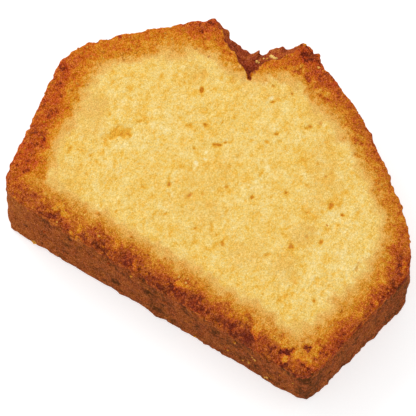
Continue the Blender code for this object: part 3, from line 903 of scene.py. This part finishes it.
def crumb_finish():
    """Butter sponge crumb, torn by the knife: pale cell walls, golden flecks, browned towards the crust."""
    material, tree, shader = new_finish(CRUMB_NAME, roughness=0.9, specular=0.03)
    where = add_node(tree, "ShaderNodeTexCoord", {}).outputs["Object"]
    browning, golden, warmth = (
        add_node(tree, "ShaderNodeAttribute", {}, attribute_name=name).outputs["Fac"]
        for name in ("browning", "golden", "warmth")
    )

    # Cells of about half a millimetre, drawn out from base to crown as they rose, each paler or more golden.
    risen = add_node(tree, "ShaderNodeMapping", {"Vector": where, "Scale": RISEN_CELLS}).outputs["Vector"]
    cells = centred_noise(tree, risen, CELL_SIZE, roughness=0.8)
    inputs = {0: cells, 1: CELL_CONTRAST, 2: golden}
    tone = add_node(tree, "ShaderNodeMath", inputs, operation="MULTIPLY_ADD").outputs[0]
    plain = fill_ramp(add_node(tree, "ShaderNodeValToRGB", {"Fac": tone}), CRUMB_TONES)

    # The same cells near the crust, where each baked lighter or darker.
    limits = {"From Max": 0.6, "To Min": 0.1, "To Max": 1.1}
    uneven = add_node(tree, "ShaderNodeMapRange", {"Value": browning, **limits}).outputs["Result"]
    inputs = {0: cells, 1: uneven, 2: browning}
    baked = add_node(tree, "ShaderNodeMath", inputs, operation="MULTIPLY_ADD").outputs[0]
    stop = add_node(tree, "ShaderNodeMath", {0: baked, 1: STOP_PER_BROWNING}, operation="MULTIPLY")
    brown = fill_ramp(add_node(tree, "ShaderNodeValToRGB", {"Fac": stop.outputs[0]}), BROWNED_TONES)
    orange = fill_ramp(add_node(tree, "ShaderNodeValToRGB", {"Fac": stop.outputs[0]}), ORANGE_TONES)
    mix = {MIX_SHARE: warmth, MIX_FIRST: brown, MIX_SECOND: orange}
    browned = add_node(tree, "ShaderNodeMix", mix, data_type="RGBA").outputs[MIX_RESULT]
    share = add_node(tree, "ShaderNodeMapRange", {"Value": baked, "From Max": 0.13}).outputs["Result"]
    mix = {MIX_SHARE: share, MIX_FIRST: plain, MIX_SECOND: browned}
    colour = add_node(tree, "ShaderNodeMix", mix, data_type="RGBA").outputs[MIX_RESULT]

    # Firm browned crumb shows its grains more than the soft middle does.
    stronger = add_node(tree, "ShaderNodeMapRange", {"Value": browning, "To Min": 0.3}).outputs["Result"]
    add_grain(tree, shader, where, colour, gain=0.58, share=stronger, bump_depth=0.3, hue_drift=0.006)
    return material


def crust_finish(name, roughness, specular, stops):
    """A baked crust: patches of lighter and darker browning, with gritty light and dark specks."""
    material, tree, shader = new_finish(name, roughness, specular)
    where = add_node(tree, "ShaderNodeTexCoord", {}).outputs["Object"]
    browning = add_node(tree, "ShaderNodeAttribute", {}, attribute_name="browning").outputs["Fac"]
    drawn = add_node(tree, "ShaderNodeMapping", {"Vector": where, "Scale": DRAWN_THROUGH}).outputs["Vector"]
    grit = centred_noise(tree, drawn, GRIT_SIZE, roughness=0.65)
    inputs = {0: grit, 1: GRIT_CONTRAST, 2: browning}
    tone = add_node(tree, "ShaderNodeMath", inputs, operation="MULTIPLY_ADD").outputs[0]
    stop = add_node(tree, "ShaderNodeMath", {0: tone, 1: STOP_PER_BROWNING}, operation="MULTIPLY")
    colour = fill_ramp(add_node(tree, "ShaderNodeValToRGB", {"Fac": stop.outputs[0]}), stops)
    add_grain(tree, shader, drawn, colour, gain=0.55, share=1.0, bump_depth=0.35, hue_drift=0.004)
    return material


def finishes():
    """The slice's materials: CRUMB, TIN_CRUST, DOME_CRUST and SPLIT_CRUST, in that order."""
    return [
        crumb_finish(),
        # Crust that lay against the tin: an even brown to dark brown, dry and almost without shine.
        crust_finish("tin-baked crust, matt brown", 0.9, 0.02, TIN_TONES),
        # The loaf's own top crust: golden brown to red brown, with a faint sheen.
        crust_finish("domed top crust, golden brown", 0.75, 0.08, BROWNED_TONES),
        # Crust that baked inside the split: dark red brown and quite dull, its darkness partly painted
        # shade.
        crust_finish("crust inside the split, dark red brown", 0.95, 0.0, SPLIT_TONES),
    ]


def crumb_settings(cake, rng):
    """Each loose crumb's place, size and browning: those on the rim and the base, then the placed ones."""
    points, normals = places(cake), outward(cake)
    height = points[:, 2]
    browning = read_all(cake.data.attributes["browning"].data, "value", 1)[:, 0]
    rim = (normals[:, 2] > 0.9) & (height > 17.5) & (browning > 0.3) & (browning < 1.2)
    base = (height > 2.0) & (height <= 17.5) & (normals[:, 1] < -0.7)
    chance = 1.0 * rim + CRUMB_ON_BASE * base
    chosen = rng.choice(len(points), CRUMB_COUNT, replace=False, p=chance / chance.sum())
    settings = []
    for index in chosen:
        size = rng.uniform(*CRUMB_SIZES)
        tone = np.clip(browning[index] + rng.normal(*CRUMB_CHANGE), *CRUMB_BROWNING)
        settings.append((points[index], size, tone))
    for across, down, size, tone in PLACED_CRUMBS:
        settings.append((seen_on(cake, across, down), size, tone))
    return settings


def loose_crumbs(cake):
    """Crumbs that the knife left on the rim, in the split and on the walls, shaped from one rough crumb."""
    bpy.ops.object.select_all(action="DESELECT")
    bpy.ops.mesh.primitive_ico_sphere_add(subdivisions=1, radius=0.5 * MM)
    crumbs = bpy.context.object
    crumbs.name = "loose_crumbs"
    shape = places(crumbs)
    faces = np.array([polygon.vertices[:] for polygon in crumbs.data.polygons])

    rng = np.random.default_rng(5)
    corners, every_face, tones = [], [], []
    for place, size, tone in crumb_settings(cake, rng):
        turn = np.linalg.qr(rng.normal(size=(3, 3)))[0]
        turn *= np.sign(np.linalg.det(turn))
        stretch = rng.uniform(*CRUMB_STRETCH, 3)
        dents = 1.0 + rng.uniform(-CRUMB_DENTS, CRUMB_DENTS, (len(shape), 1))
        dented = shape * stretch * dents
        every_face.append(faces + len(tones))
        corners.append(dented @ turn.T * size + place)
        tones += [tone] * len(shape)
    mesh = bpy.data.meshes.new("loose_crumbs")
    mesh.from_pydata(np.concatenate(corners) * MM, [], np.concatenate(every_face).tolist())
    count = len(tones)
    write_looks(mesh, browning=tones, golden=[CRUMB_GOLD] * count, warmth=[CRUMB_WARMTH] * count)
    mesh.materials.append(bpy.data.materials[CRUMB_NAME])
    crumbs.data = mesh
    return crumbs


def make_camera():
    back = camera_axes()[2]
    data = bpy.data.cameras.new("camera")
    data.sensor_width = SENSOR_WIDTH
    data.lens = SENSOR_WIDTH * CAMERA_DISTANCE / PICTURE_WIDTH
    data.clip_start = 0.05
    data.clip_end = 10.0
    camera = bpy.data.objects.new("camera", data)
    camera.location = (CAMERA_TARGET + back * CAMERA_DISTANCE) * MM
    camera.rotation_mode = "QUATERNION"
    camera.rotation_quaternion = (-back).to_track_quat("-Z", "Y")
    bpy.context.scene.collection.objects.link(camera)
    bpy.context.scene.camera = camera


def make_studio():
    scene = bpy.context.scene
    scene.view_settings.view_transform = "Standard"
    world = bpy.data.worlds.new("studio")
    world.use_nodes = True
    background = world.node_tree.nodes["Background"]
    background.inputs["Color"].default_value = linear("FFFFFF")
    background.inputs["Strength"].default_value = SKY_STRENGTH
    scene.world = world
    data = bpy.data.lights.new("key", "AREA")
    data.shape = "DISK"
    data.size = KEY_SIZE
    data.energy = KEY_WATTS
    key = bpy.data.objects.new("key", data)
    direction = KEY_DIRECTION.normalized()
    key.location = direction * KEY_DISTANCE
    key.rotation_mode = "QUATERNION"
    key.rotation_quaternion = direction.to_track_quat("Z", "Y")
    scene.collection.objects.link(key)


def make_floor():
    """White sheet over a light table: it glows, so it stays nearly white and takes only a faint shadow."""
    bpy.ops.object.select_all(action="DESELECT")
    bpy.ops.mesh.primitive_plane_add(size=FLOOR_WIDTH * MM, location=(0, 0, -FLOOR_DROP * MM))
    floor = bpy.context.object
    floor.name = "floor"
    material, tree, shader = new_finish("white sheet over a light table", roughness=0.9, specular=0.0)
    shader.inputs["Base Color"].default_value = (FLOOR_GREY, FLOOR_GREY, FLOOR_GREY, 1)
    shader.inputs["Emission Color"].default_value = linear("FFFFFF")
    shader.inputs["Emission Strength"].default_value = FLOOR_GLOW
    floor.data.materials.append(material)


cake = shape_slice()
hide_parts("cake_slice")
crumbs = loose_crumbs(cake)
for piece in (cake, crumbs):
    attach(piece, "root")
make_camera()
make_studio()
make_floor()
